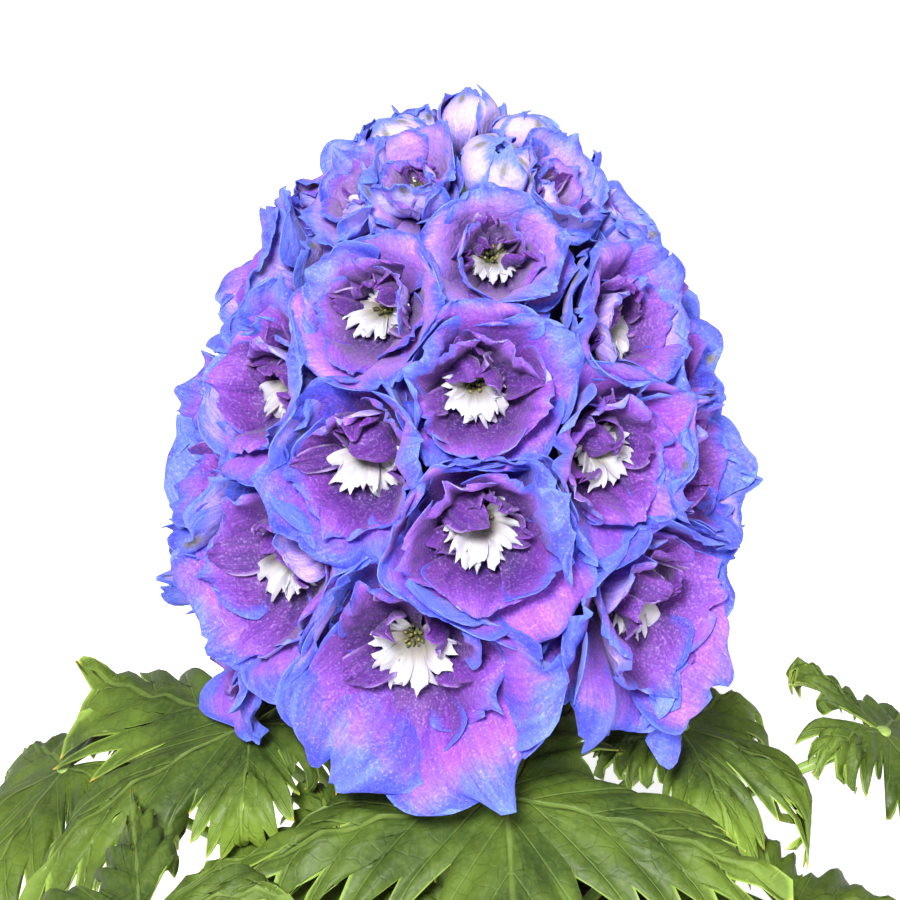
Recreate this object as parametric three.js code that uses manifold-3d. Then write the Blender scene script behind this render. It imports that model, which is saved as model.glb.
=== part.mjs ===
// A dwarf double-flowered delphinium in a nursery pot: pot, potting mix, flower stem with its pedicels,
// a dense raceme of florets and buds, and two tiers of palmate leaves.
// Millimetres, +Z up, standing on Z = 0, with the stem on the Z axis and the plant's front towards -Y.
import * as THREE from "three";
import { mergeVertices } from "three/addons/utils/BufferGeometryUtils.js";
import Module from "manifold-3d";

const { Vector3 } = THREE;
const radians = THREE.MathUtils.degToRad;
const UP = new Vector3(0, 0, 1);

// ---------- Driving dimensions ----------
const GAP = 0.3; // clearance between pieces that touch
const OVERSHOOT = 1; // how far a drill passes the face that it goes through

const POT = { height: 125, topRadius: 72, baseRadius: 54, wall: 2.4, rimHeight: 15, rimOut: 3.2, sides: 24 };
const DRAIN = { radius: 5, ring: 36, count: 4, sides: 8 };
const SOIL = { top: 111, dome: 5, shoulder: { at: 0.55, rise: 0.7 }, sides: 24 };

const HEAD_BASE = 245; // height of the lowest full florets
const STEM = { rootZ: 78, tipZ: 338, rootRadius: 6, tipRadius: 2.2, sides: 6 };
const PEDICEL = { radius: 1.4, endRadius: 0.9, sides: 3, rise: 0.35, gap: 0.5, tipDrop: 3 };

// Florets sit on a golden-angle spiral. Heights are above HEAD_BASE, angles in degrees.
const FLORETS = 42;
const GOLDEN_ANGLE = 137.508;
const FIRST_AZIMUTH = -65; // 0 is the front, positive to the right
const FIRST_HEIGHT = -9;
const HEIGHT_STEP = 3.1;
const TIP_START = 30;
const TIP_SQUEEZE = 0.15;
const FIRST_BUD = 38;
// Florets that grew away from the regular spiral: number -> [degrees, mm]
const NUDGES = {
  0: [-12, 3], 3: [1, 2], 6: [11, -3], 8: [-3, 1], 9: [4, -2], 11: [-2, 8], 14: [10, -2],
  16: [0, 7], 19: [13, -4], 24: [10, -2], 27: [12, -6], 29: [8, -4], 32: [1, -2], 37: [-20, 0],
};
// How the florets change up the raceme: [height, value]
const RECEPTACLE_RADIUS = [
  [-12, 43], [0, 47], [30, 48], [55, 42], [72, 35], [86, 26], [95, 18], [101, 10], [106, 5],
];
const FACING_TILT = [
  [-12, -4], [0, 6], [30, 12], [55, 18], [72, 26], [86, 36], [95, 48], [101, 64], [106, 82],
];
const SEPAL_LENGTH = [
  [-12, 40], [0, 43], [12, 38], [30, 35], [60, 31], [80, 26], [94, 21], [101, 18], [106, 15],
];
const SEPAL_OPENING = [[-12, 100], [0, 104], [20, 86], [60, 72], [86, 62], [95, 46], [101, 24], [106, 8]];

// Rings of petals, from the outside in. Widths are half-widths in petal lengths. base is a petal's lean
// from the floret's axis where it springs, and lean is what its tip adds to the floret's opening.
const OUTER = {
  shape: "broad", count: 5, turn: 0, length: 1, width: 0.43, base: 62, lean: 0, lift: 0, margin: 0.7,
};
const INNER = {
  shape: "pointed", count: 4, turn: 40, length: 0.76, width: 0.37, base: 46, lean: -14, lift: 1.6,
  margin: 2.6,
};
const BUD = { ...OUTER, width: 0.36, base: 74, lean: -34 };
const HUB = 2.4; // radius of a ring's flat middle, which its petals spring from
const NOTCH = 0.28; // where neighbouring petals of a ring part, in petal lengths
const MAX_SHARE = 0.95; // of the room that a petal has beside its neighbours in the ring
const RUFFLE = 0.05; // waves of a petal's edge, in floret petal lengths
const VARIETY = { length: 0.07, lean: 9 }; // petals differ by this share of their length and these degrees
const BLADE = 0.8; // thickness
const RECEPTACLE = { depth: 4, height: 1.6, backRadius: 1.3, radius: 1.5, sides: 3 };
const FLORET_FLOOR = -26; // the lowest petals stay this far below HEAD_BASE, above the leaves
const CELL = { gap: 0.5, lift: 0.4, reach: 100, centre: 0.45 };

// Leaves drape over one common dome, each at its own height so that they lie clear of each other.
const DOME = { fall: 45, radius: 130, power: 2.2 };
// Lobes of a leaf from its right to its left: angle from the leaf's heading and usual share of its length.
const LOBES = [
  { angle: -130, share: 0.68 }, { angle: -66, share: 0.95 }, { angle: 0, share: 1 },
  { angle: 66, share: 0.95 }, { angle: 130, share: 0.68 },
];
// Each leaf: azimuth and radius of its junction, height of its dome above HEAD_BASE, length of the blade and
// how far each lobe curls down past its middle in degrees. Some are turned about their junction, have their
// lobes spread or have lobes with another share of the length.
const STEM_LEAVES = [
  { azimuth: 12, radius: 56, height: -31, length: 78, curls: [10, 10, 40, -30, 0], turn: -10, spread: 1.2 },
  {
    azimuth: -68, radius: 56, height: -30, length: 76, curls: [0, -60, 30, 90, 0],
    shares: { 3: 0.52, 4: 0.55 },
  },
  { azimuth: 82, radius: 58, height: -38, length: 54, curls: [0, 60, 110, 20, 0] },
  { azimuth: 146, radius: 54, height: -44, length: 60, curls: [0, 30, 40, 20, 0] },
  { azimuth: -162, radius: 55, height: -56, length: 58, curls: [0, 10, 30, 10, 0] },
  { azimuth: -114, radius: 54, height: -48, length: 64, curls: [0, 10, 40, 10, 0], shares: { 4: 0.5 } },
  { azimuth: -28, radius: 60, height: -44, length: 52, curls: [10, 20, 60, 20, 10] },
];
const BASAL_LEAVES = [
  { azimuth: -42, radius: 112, height: -22, length: 66, curls: [0, 20, 30, 20, 0] },
  { azimuth: 60, radius: 94, height: -54, length: 64, curls: [10, 30, 50, 30, 10] },
  { azimuth: 92, radius: 112, height: -22, length: 56, curls: [0, 30, 40, 30, 0] },
  { azimuth: 160, radius: 96, height: -62, length: 60, curls: [10, 30, 50, 30, 10] },
  { azimuth: -148, radius: 96, height: -72, length: 60, curls: [10, 30, 50, 30, 10] },
  { azimuth: -92, radius: 104, height: -38, length: 66, curls: [10, 30, 50, 30, 10] },
  { azimuth: -14, radius: 88, height: -66, length: 62, curls: [10, 30, 40, 30, 10], turn: 12 },
  { azimuth: 26, radius: 96, height: -74, length: 62, curls: [10, 30, 40, 30, 10] },
];
// Webs are the places where lobes part, in lobe lengths; the two outermost lobes end there at backWeb.
const LEAF = {
  thickness: 1.0, arch: 0.22, web: 0.3, backWeb: 0.165, curlStart: 0.45, curlGrowth: 1.5, curlSteps: 8,
};
// One side of a lobe past the web, in lobe lengths along and across: tooth, notch and tooth, with the
// stations along the midrib that they are joined to.
const TEETH = [[0.58, 0.27], [0.62, 0.15], [0.84, 0.19]];
const MIDRIB = [0.34, 0.56, 0.78];
const PETIOLE = { radius: 1.8, sides: 4, steps: 3, overlap: 1.5 };
// Petioles rise from a ring in the soil, or start on the stem this far below their junction. Bends are the
// middle points of their curves, as shares of the rise and of the junction's radius.
const BASAL = { ring: 20, depth: 14, lean: 2, lowBend: 0.5, highBend: 0.75, bendOut: 0.35 };
const HOLE = { room: 1, over: 3, sides: 4 }; // round a petiole in the soil
const CAULINE = { drop: 52, lean: 0.5, bendOut: 0.45 };

// ---------- Small tools ----------
const wasm = await Module();
wasm.setup();

// A repeatable draw in -1..1 for item k of number n.
function jitter(n, k) {
  const s = Math.sin(n * 12.9898 + k * 78.233) * 43758.5453;
  return 2 * (s - Math.floor(s)) - 1;
}

// The value at x in a table of [x, value], straight between entries and level past its ends.
function profile(table, x) {
  if (x <= table[0][0]) return table[0][1];
  for (let i = 1; i < table.length; i++) {
    const [x0, y0] = table[i - 1];
    const [x1, y1] = table[i];
    if (x <= x1) return y0 + ((y1 - y0) * (x - x0)) / (x1 - x0);
  }
  return table[table.length - 1][1];
}

// The unit vector that points outwards from the stem at an azimuth in radians.
function outward(azimuth) {
  return new Vector3(Math.sin(azimuth), -Math.cos(azimuth), 0);
}

// A manifold-3d solid from vertex numbers and triangles, turned to face out.
function solidFrom(vertProperties, triVerts) {
  const mesh = (triangles) => new wasm.Mesh({ numProp: 3, vertProperties, triVerts: triangles });
  const made = new wasm.Manifold(mesh(triVerts));
  return made.volume() < 0 ? new wasm.Manifold(mesh(triVerts.toReversed())) : made;
}

function toSolid(geometry) {
  const bare = new THREE.BufferGeometry().setAttribute("position", geometry.getAttribute("position"));
  bare.setIndex(geometry.index);
  const merged = mergeVertices(bare, 1e-3);
  return solidFrom(new Float32Array(merged.attributes.position.array), new Uint32Array(merged.index.array));
}

function toGeometry(solid) {
  const mesh = solid.getMesh();
  const position = new THREE.BufferAttribute(new Float32Array(mesh.vertProperties), 3);
  const geometry = new THREE.BufferGeometry().setAttribute("position", position);
  geometry.setIndex(new THREE.BufferAttribute(new Uint32Array(mesh.triVerts), 1));
  geometry.computeVertexNormals();
  return geometry;
}

// The union of some solids, without the loose scraps that a cut can leave.
function fuse(solids) {
  const bodies = wasm.Manifold.union(solids).decompose();
  return bodies.reduce((largest, body) => (body.volume() > largest.volume() ? body : largest));
}

// A closed blade of even thickness round a sheet of points and triangles, split alike on both faces.
function blade(points, triangles, thickness) {
  const normals = points.map(() => new Vector3());
  const edges = new Map();
  for (const [a, b, c] of triangles) {
    const normal = points[b].clone().sub(points[a]).cross(points[c].clone().sub(points[a]));
    for (const i of [a, b, c]) normals[i].add(normal);
    for (const [i, j] of [[a, b], [b, c], [c, a]]) edges.set(`${i},${j}`, [i, j]);
  }
  const half = normals.map((normal) => normal.normalize().multiplyScalar(thickness / 2));
  const count = points.length;
  const numbers = [];
  for (let i = 0; i < count; i++) numbers.push(...points[i].clone().add(half[i]).toArray());
  for (let i = 0; i < count; i++) numbers.push(...points[i].clone().sub(half[i]).toArray());
  const faces = [];
  for (const [a, b, c] of triangles) faces.push(a, b, c, c + count, b + count, a + count);
  for (const [i, j] of edges.values()) {
    if (edges.has(`${j},${i}`)) continue;
    faces.push(i, i + count, j + count, i, j + count, j);
  }
  return solidFrom(new Float32Array(numbers), new Uint32Array(faces));
}

// A rod between two points, its first end the thicker where the radii differ.
function rod(from, to, fromRadius, toRadius, sides) {
  const along = to.clone().sub(from);
  const geometry = new THREE.CylinderGeometry(toRadius, fromRadius, along.length(), sides);
  const turn = new THREE.Quaternion().setFromUnitVectors(new Vector3(0, 1, 0), along.clone().normalize());
  geometry.applyQuaternion(turn);
  geometry.translate(...from.clone().add(to).multiplyScalar(0.5).toArray());
  return toSolid(geometry);
}

// A solid of revolution about Z from [radius, height] pairs that start and end on the axis.
function turned(pairs, sides) {
  const geometry = new THREE.LatheGeometry(pairs.map(([r, z]) => new THREE.Vector2(r, z)), sides);
  geometry.rotateX(Math.PI / 2);
  return toSolid(geometry);
}

function material(color, roughness) {
  return new THREE.MeshStandardMaterial({ color, roughness, metalness: 0 });
}

// ---------- Pot and potting mix ----------
function potRadiusAt(z) {
  return THREE.MathUtils.lerp(POT.baseRadius, POT.topRadius, z / POT.height);
}

function makePot() {
  const { height, baseRadius, wall, rimHeight, rimOut, sides } = POT;
  const rimZ = height - rimHeight;
  const shell = turned([
    [0, 0],
    [baseRadius, 0],
    [potRadiusAt(rimZ), rimZ],
    [potRadiusAt(rimZ) + rimOut, rimZ],
    [potRadiusAt(height) + rimOut, height],
    [potRadiusAt(height) - wall, height],
    [potRadiusAt(wall) - wall, wall],
    [0, wall],
  ], sides);
  const holes = [];
  for (let i = 0; i < DRAIN.count; i++) {
    const centre = outward((2 * Math.PI * (i + 0.5)) / DRAIN.count).multiplyScalar(DRAIN.ring);
    const [below, above] = [centre.clone().setZ(-OVERSHOOT), centre.clone().setZ(wall + OVERSHOOT)];
    holes.push(rod(below, above, DRAIN.radius, DRAIN.radius, DRAIN.sides));
  }
  return holes.reduce((pot, hole) => pot.subtract(hole), shell);
}

// The potting mix fills the pot and has a plain hole for the stem and for each petiole that stands in it.
function makeSoil(holes) {
  const floorZ = POT.wall + GAP;
  const radiusAt = (z) => potRadiusAt(z) - POT.wall - 1.5 * GAP;
  const mix = turned([
    [0, floorZ],
    [radiusAt(floorZ), floorZ],
    [radiusAt(SOIL.top), SOIL.top],
    [radiusAt(SOIL.top) * SOIL.shoulder.at, SOIL.top + SOIL.dome * SOIL.shoulder.rise],
    [0, SOIL.top + SOIL.dome],
  ], SOIL.sides);
  return holes.reduce((soil, hole) => soil.subtract(hole), mix);
}

// ---------- Flower stem ----------
function stemRadiusAt(z) {
  return THREE.MathUtils.mapLinear(z, STEM.rootZ, STEM.tipZ, STEM.rootRadius, STEM.tipRadius);
}

function makeStem(florets) {
  const { rootZ, tipZ, sides } = STEM;
  const shaft = turned([
    [0, rootZ],
    [stemRadiusAt(rootZ), rootZ],
    [stemRadiusAt(tipZ), tipZ],
    [0, tipZ],
  ], sides);
  const pedicels = florets.map(({ base, axis }) => {
    const end = base.clone().addScaledVector(axis, -(RECEPTACLE.depth + PEDICEL.gap));
    const drop = PEDICEL.rise * Math.hypot(end.x, end.y);
    const start = new Vector3(0, 0, Math.min(end.z - drop, tipZ - PEDICEL.tipDrop));
    return rod(start, end, PEDICEL.radius, PEDICEL.endRadius, PEDICEL.sides);
  });
  return fuse([shaft, ...pedicels]);
}

// ---------- Florets ----------
function makeStation(n) {
  const [turn, shift] = NUDGES[n] ?? [0, 0];
  const azimuth = radians(FIRST_AZIMUTH + GOLDEN_ANGLE * n + turn);
  const squeeze = TIP_SQUEEZE * Math.max(0, n - TIP_START) ** 2;
  const height = FIRST_HEIGHT + HEIGHT_STEP * n - squeeze + shift;
  const tilt = radians(profile(FACING_TILT, height));
  const out = outward(azimuth);
  const axis = out.clone().multiplyScalar(Math.cos(tilt)).addScaledVector(UP, Math.sin(tilt));
  const rise = UP.clone().multiplyScalar(Math.cos(tilt)).addScaledVector(out, -Math.sin(tilt));
  const base = out.clone().multiplyScalar(profile(RECEPTACLE_RADIUS, height)).setZ(HEAD_BASE + height);
  const length = profile(SEPAL_LENGTH, height);
  const opening = profile(SEPAL_OPENING, height);
  return { n, base, axis, rise, side: rise.clone().cross(axis), length, opening };
}

// The planes halfway to the neighbours: a floret's sepals press against theirs there.
function cellPlanes(station, stations) {
  const centre = (s) => s.base.clone().addScaledVector(s.axis, s.length * CELL.centre);
  const own = centre(station);
  return stations.filter((other) => other !== station).flatMap((other) => {
    const away = centre(other).sub(own);
    if (away.length() > CELL.reach) return [];
    const normal = away.clone().normalize();
    return [{ normal, offset: normal.dot(own) + away.length() / 2 - CELL.gap / 2 }];
  });
}

// A point of a petal: run and across in millimetres, along the petal from its base and to its side.
function petalPoint(station, ring, petal, run, across) {
  const { angle, length, tip } = petal;
  const start = radians(ring.base);
  const bend = (radians(tip) - start) / length;
  const lean = start + bend * run; // from the floret's axis
  const out = HUB + (Math.cos(start) - Math.cos(lean)) / bend;
  const along = (Math.sin(lean) - Math.sin(start)) / bend + ring.lift;
  const { rise, side } = station;
  const outDir = rise.clone().multiplyScalar(Math.cos(angle)).addScaledVector(side, Math.sin(angle));
  const sideDir = side.clone().multiplyScalar(Math.cos(angle)).addScaledVector(rise, -Math.sin(angle));
  const room = out * Math.tan(Math.PI / ring.count) * MAX_SHARE;
  const width = Math.min(Math.abs(across), room) * Math.sign(across);
  return station.base.clone().addScaledVector(outDir, out)
    .addScaledVector(station.axis, along).addScaledVector(sideDir, width);
}

// Bends a point back from the neighbours' planes, and outwards along the floret's axis as it goes, and
// keeps it above the leaves.
function pressIntoCell(point, planes, axis, margin) {
  for (const lift of [CELL.lift, 0, 0]) {
    for (const { normal, offset } of planes) {
      const beyond = normal.dot(point) - (offset - margin);
      if (beyond <= 0) continue;
      point.addScaledVector(normal, -beyond).addScaledVector(axis, lift * beyond);
    }
  }
  point.z = Math.max(point.z, HEAD_BASE + FLORET_FLOOR - domeFall(Math.hypot(point.x, point.y)));
  return point;
}

// The points of one petal, as [run, across] in petal lengths, and its triangles, which also use the two
// hub points "c" and "d" that it springs from and the notches "a" and "b" at its two sides.
function petalPlan(shape, width) {
  if (shape === "broad") {
    return {
      points: [[0.52, 0], [0.62, -width], [0.62, width], [0.97, -0.5 * width], [0.97, 0.5 * width]],
      triangles: ["ca0", "c0d", "d0b", "a10", "02b", "130", "034", "042"],
    };
  }
  return { points: [[0.6, -width], [0.6, width], [1, 0]], triangles: ["c01", "c1d", "021"] };
}

// One ring of petals as a single lobed blade round a flat hub.
function makeRing(station, planes, ring, seed) {
  const { n, length, opening } = station;
  const { count } = ring;
  const step = 360 / count;
  const place = (petal, run, across, wave) => {
    const point = petalPoint(station, ring, petal, run * petal.length, across * petal.length);
    return pressIntoCell(point.addScaledVector(station.axis, wave), planes, station.axis, ring.margin);
  };
  const petalAt = (position, spread, k) => ({
    angle: radians(ring.turn + step * position),
    length: length * ring.length * (1 + VARIETY.length * spread * jitter(n, seed + k)),
    tip: opening + ring.lean + VARIETY.lean * spread * jitter(n, seed + k + 10),
  });
  const between = Array.from({ length: count }, (_, k) => petalAt(k - 0.5, 0, k));
  const points = between.map((petal) => place(petal, 0, 0, 0));
  const notched = ring.shape === "broad";
  if (notched) points.push(...between.map((petal) => place(petal, NOTCH, 0, 0)));
  const triangles = [];
  for (let k = 1; k + 1 < count; k++) triangles.push([0, k, k + 1]);
  for (let k = 0; k < count; k++) {
    const next = (k + 1) % count;
    const petal = petalAt(k, 1, k);
    const plan = petalPlan(ring.shape, ring.width);
    const first = points.length;
    plan.points.forEach(([run, across], i) => {
      const wave = across ? RUFFLE * length * jitter(n, seed + 20 + 5 * k + i) : 0;
      points.push(place(petal, run, across, wave));
    });
    const named = { c: k, d: next, a: count + k, b: count + next };
    for (const corners of plan.triangles) {
      triangles.push([...corners].map((corner) => named[corner] ?? first + Number(corner)));
    }
  }
  return blade(points, triangles, BLADE);
}

function makeFloret(station, planes) {
  const { base, axis, n } = station;
  const back = base.clone().addScaledVector(axis, -RECEPTACLE.depth);
  const front = base.clone().addScaledVector(axis, n < FIRST_BUD ? RECEPTACLE.height : 0);
  const receptacle = rod(back, front, RECEPTACLE.backRadius, RECEPTACLE.radius, RECEPTACLE.sides);
  const rings = n < FIRST_BUD ? [OUTER, INNER] : [BUD];
  return fuse([receptacle, ...rings.map((ring, i) => makeRing(station, planes, ring, 100 * i))]);
}

// ---------- Leaves ----------
// How far the common dome has fallen at a distance from the stem.
function domeFall(r) {
  return DOME.fall * (r / DOME.radius) ** DOME.power;
}

// How far along and how far down a lobe's midrib is at a run from the junction, with its end curled down.
function curlMidrib(run, length, curl) {
  const start = LEAF.curlStart * length;
  if (run <= start) return [run, 0];
  const steps = LEAF.curlSteps;
  let along = start;
  let down = 0;
  for (let i = 0; i < steps; i++) {
    const t = ((i + 0.5) / steps) * ((run - start) / (length - start));
    const angle = radians(curl) * t ** LEAF.curlGrowth;
    along += (Math.cos(angle) * (run - start)) / steps;
    down += (Math.sin(angle) * (run - start)) / steps;
  }
  return [along, down];
}

// A point of a leaf: lobe number, and run and across in lobe lengths.
function leafPoint(leaf, frame, lobe, run, across) {
  const size = leaf.length * (leaf.shares?.[lobe] ?? LOBES[lobe].share);
  const [along, down] = curlMidrib(run * size, size, leaf.curls[lobe]);
  const heading = radians(leaf.azimuth + (leaf.turn ?? 0) + LOBES[lobe].angle * (leaf.spread ?? 1));
  const side = outward(heading + Math.PI / 2);
  const point = frame.junction.clone().addScaledVector(outward(heading), along)
    .addScaledVector(side, across * size);
  const arch = LEAF.arch * Math.abs(across) * size;
  const radius = Math.hypot(point.x, point.y);
  return point.setZ(HEAD_BASE + leaf.height - domeFall(radius) - down - arch);
}

// The leaf's sheet: five lobes that share web points between them, open at the back.
function leafSheet(leaf, frame) {
  const points = [frame.junction.clone()];
  const triangles = [];
  const webs = LOBES.slice(1).map((lobe, i) => {
    const spacing = (radians(lobe.angle - LOBES[i].angle) * (leaf.spread ?? 1)) / 2;
    points.push(leafPoint(leaf, frame, i, LEAF.web * Math.cos(spacing), LEAF.web * Math.sin(spacing)));
    return points.length - 1;
  });
  const backWeb = (lobe, hand) => {
    points.push(leafPoint(leaf, frame, lobe, LEAF.web, hand * LEAF.backWeb));
    return points.length - 1;
  };
  LOBES.forEach((_, lobe) => {
    const midrib = MIDRIB.map((run) => points.push(leafPoint(leaf, frame, lobe, run, 0)) - 1);
    const tip = points.push(leafPoint(leaf, frame, lobe, 1, 0)) - 1;
    for (const hand of [-1, 1]) {
      const web = webs[hand < 0 ? lobe - 1 : lobe] ?? backWeb(lobe, hand);
      const [tooth, notch, farTooth] = TEETH.map(([run, across]) =>
        points.push(leafPoint(leaf, frame, lobe, run, hand * across)) - 1);
      const [near, middle, far] = midrib;
      for (const [a, b, c] of [
        [0, near, web], [web, near, tooth], [near, middle, tooth], [tooth, middle, notch],
        [middle, far, notch], [notch, far, farTooth], [far, tip, farTooth],
      ]) triangles.push(hand > 0 ? [a, b, c] : [a, c, b]);
    }
  });
  return { points, triangles };
}

function leafFrame(leaf) {
  const out = outward(radians(leaf.azimuth));
  const z = HEAD_BASE + leaf.height - domeFall(leaf.radius);
  return { out, junction: out.clone().multiplyScalar(leaf.radius).setZ(z) };
}

// The petiole's curve to the junction. It starts upright in the soil, or leaning out from the stem.
function petioleCurve(leaf, { out, junction }) {
  const end = junction.clone().addScaledVector(out, PETIOLE.overlap);
  if (leaf.root === "soil") {
    const start = out.clone().multiplyScalar(BASAL.ring).setZ(SOIL.top - BASAL.depth);
    const rise = end.z - start.z;
    const lower = start.clone().addScaledVector(UP, rise * BASAL.lowBend).addScaledVector(out, BASAL.lean);
    const upper = start.clone().addScaledVector(UP, rise * BASAL.highBend)
      .addScaledVector(out, leaf.radius * BASAL.bendOut);
    return new THREE.CubicBezierCurve3(start, lower, upper, end);
  }
  const z = junction.z - CAULINE.drop;
  const lean = new Vector3(0, 0, CAULINE.lean).add(out).normalize();
  const clear = stemRadiusAt(z) + GAP + PETIOLE.radius * lean.z;
  const start = out.clone().multiplyScalar(clear).setZ(z);
  const bend = start.clone().addScaledVector(lean, leaf.radius * CAULINE.bendOut);
  return new THREE.QuadraticBezierCurve3(start, bend, end);
}

// The hole in the soil follows the petiole's straight first stretch.
function petioleHole(leaf) {
  const curve = petioleCurve(leaf, leafFrame(leaf));
  const start = curve.getPointAt(0);
  const along = curve.getPointAt(1 / PETIOLE.steps).sub(start).normalize();
  const top = start.clone().addScaledVector(along, BASAL.depth + SOIL.dome + HOLE.over);
  const bottom = start.addScaledVector(along, -OVERSHOOT);
  const radius = PETIOLE.radius + HOLE.room;
  return rod(bottom, top, radius, radius, HOLE.sides);
}

function makePetiole(curve) {
  const ring = Array.from({ length: PETIOLE.sides }, (_, i) => {
    const a = (2 * Math.PI * i) / PETIOLE.sides;
    return new THREE.Vector2(PETIOLE.radius * Math.cos(a), PETIOLE.radius * Math.sin(a));
  });
  const options = { extrudePath: curve, steps: PETIOLE.steps, bevelEnabled: false };
  return toSolid(new THREE.ExtrudeGeometry(new THREE.Shape(ring), options));
}

function makeLeaf(leaf) {
  const frame = leafFrame(leaf);
  const { points, triangles } = leafSheet(leaf, frame);
  const petiole = makePetiole(petioleCurve(leaf, frame));
  return fuse([blade(points, triangles, LEAF.thickness), petiole]);
}

// ---------- The plant ----------
const plant = new THREE.Group();

function add(name, solid, look) {
  const mesh = new THREE.Mesh(toGeometry(solid), look);
  mesh.name = name;
  plant.add(mesh);
}

const potPlastic = material(0x2b2d2c, 0.55);
const pottingMix = material(0x3a2a1e, 0.95);
const stemGreen = material(0x6f8f3c, 0.5);
const leafGreen = material(0x4d7a2a, 0.45);
const petalViolet = material(0x6a4fd0, 0.5);
const budLilac = material(0x8f86e0, 0.5);

const stations = Array.from({ length: FLORETS }, (_, n) => makeStation(n));
const leaves = [
  ...STEM_LEAVES.map((leaf, i) => ({ ...leaf, root: "stem", name: `stem_leaf_${i + 1}` })),
  ...BASAL_LEAVES.map((leaf, i) => ({ ...leaf, root: "soil", name: `basal_leaf_${i + 1}` })),
];
const stemHoleRadius = STEM.rootRadius + 2 * GAP;
const soilHoles = leaves.filter((leaf) => leaf.root === "soil").map(petioleHole);
soilHoles.push(rod(
  new Vector3(0, 0, STEM.rootZ - GAP),
  new Vector3(0, 0, SOIL.top + SOIL.dome + OVERSHOOT),
  stemHoleRadius,
  stemHoleRadius,
  STEM.sides,
));

add("pot", makePot(), potPlastic);
add("potting_mix", makeSoil(soilHoles), pottingMix);
add("flower_stem", makeStem(stations), stemGreen);
for (const leaf of leaves) add(leaf.name, makeLeaf(leaf), leafGreen);
for (const station of stations) {
  const bud = station.n >= FIRST_BUD;
  const number = String(station.n + 1).padStart(2, "0");
  const floret = makeFloret(station, cellPlanes(station, stations));
  add(`${bud ? "bud" : "floret"}_${number}`, floret, bud ? budLilac : petalViolet);
}

export default plant;
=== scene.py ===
"""Looks of a potted, double-flowered dwarf delphinium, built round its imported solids.

Lengths are in millimetres and angles in degrees until a mesh is made; only the stage is in metres. +Z is
up, the stem is the Z axis and the plant's front is towards -Y. The flower head and the leaves grow by the
same rules as the solids.
"""

from math import atan2, cos, degrees, hypot, pi, radians, sin, sqrt
from types import SimpleNamespace as Values

import bpy
import numpy as np
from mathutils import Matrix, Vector

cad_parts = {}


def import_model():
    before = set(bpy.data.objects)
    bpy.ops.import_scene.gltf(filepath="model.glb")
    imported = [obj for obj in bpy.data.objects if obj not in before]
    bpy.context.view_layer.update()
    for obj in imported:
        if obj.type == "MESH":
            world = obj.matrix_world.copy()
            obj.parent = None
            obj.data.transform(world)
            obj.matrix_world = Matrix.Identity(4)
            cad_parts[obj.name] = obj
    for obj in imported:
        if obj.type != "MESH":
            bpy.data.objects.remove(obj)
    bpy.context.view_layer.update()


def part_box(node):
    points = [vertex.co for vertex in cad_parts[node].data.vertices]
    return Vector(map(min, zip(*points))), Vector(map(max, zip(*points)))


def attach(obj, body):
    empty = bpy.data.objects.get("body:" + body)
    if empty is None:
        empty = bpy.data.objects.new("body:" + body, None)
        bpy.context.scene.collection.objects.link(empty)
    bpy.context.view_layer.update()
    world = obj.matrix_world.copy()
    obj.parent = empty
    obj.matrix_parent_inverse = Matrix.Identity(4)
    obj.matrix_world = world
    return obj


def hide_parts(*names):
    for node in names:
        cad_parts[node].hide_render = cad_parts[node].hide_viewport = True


MM = 0.001
UP = np.array([0.0, 0.0, 1.0])
PLAIN = (0.0, 0.0, 0.0)  # what a point tells its material where the material needs nothing
SHARP_EDGE = 60  # edges that turn by more than this stay sharp

# ---------- Driving dimensions ----------
HEAD_BASE = 245  # height of the lowest full florets
FLORETS = 42
GOLDEN_ANGLE = 137.508
FIRST_AZIMUTH = -65  # 0 is the front, positive to the right
FIRST_HEIGHT = -9
HEIGHT_STEP = 3.1
TIP_START = 30
TIP_SQUEEZE = 0.15
FIRST_BUD = 38
# Florets that grew away from the regular spiral: number -> (degrees, mm)
NUDGES = {
    0: (-12, 3), 3: (1, 2), 6: (11, -3), 8: (-3, 1), 9: (4, -2), 11: (-2, 8), 14: (10, -2),
    16: (0, 7), 19: (13, -4), 24: (10, -2), 27: (12, -6), 29: (8, -4), 32: (1, -2), 37: (-20, 0),
}
# How the florets change up the raceme: (height above HEAD_BASE, value)
RECEPTACLE_RADIUS = [
    (-12, 43), (0, 47), (30, 48), (55, 42), (72, 35), (86, 26), (95, 18), (101, 10), (106, 5),
]
FACING_TILT = [(-12, -4), (0, 6), (30, 12), (55, 18), (72, 26), (86, 36), (95, 48), (101, 64), (106, 82)]
SEPAL_LENGTH = [(-12, 40), (0, 43), (12, 38), (30, 35), (60, 31), (80, 26), (94, 21), (101, 18), (106, 15)]
SEPAL_OPENING = [(-12, 100), (0, 104), (20, 86), (60, 72), (86, 62), (95, 46), (101, 24), (106, 8)]
YOUTH = Values(start=60, span=46)  # florets look younger from this height on, over this span

HUB = 2.4  # radius that a ring of petals springs from
# The cell that a floret's petals grow in: gap to the next cell, lift of petals that press on its walls,
# distance within which another floret counts, centre in sepal lengths and roundness of walls and floor
CELL = Values(gap=0.5, lift=0.3, reach=100, centre=0.45, softness=2.0, floor_softness=1.5)
CELL_ROOM = [(84, 0.9), (100, 1.2)]  # (a floret's opening, reach off its axis in sepal lengths)
# How far the flower head reaches from the stem: (height above HEAD_BASE, mm)
HEAD_REACH = [(-20, 80), (0, 75), (35, 73), (57, 66), (82, 54), (97, 44), (111, 33), (122, 22)]
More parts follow.
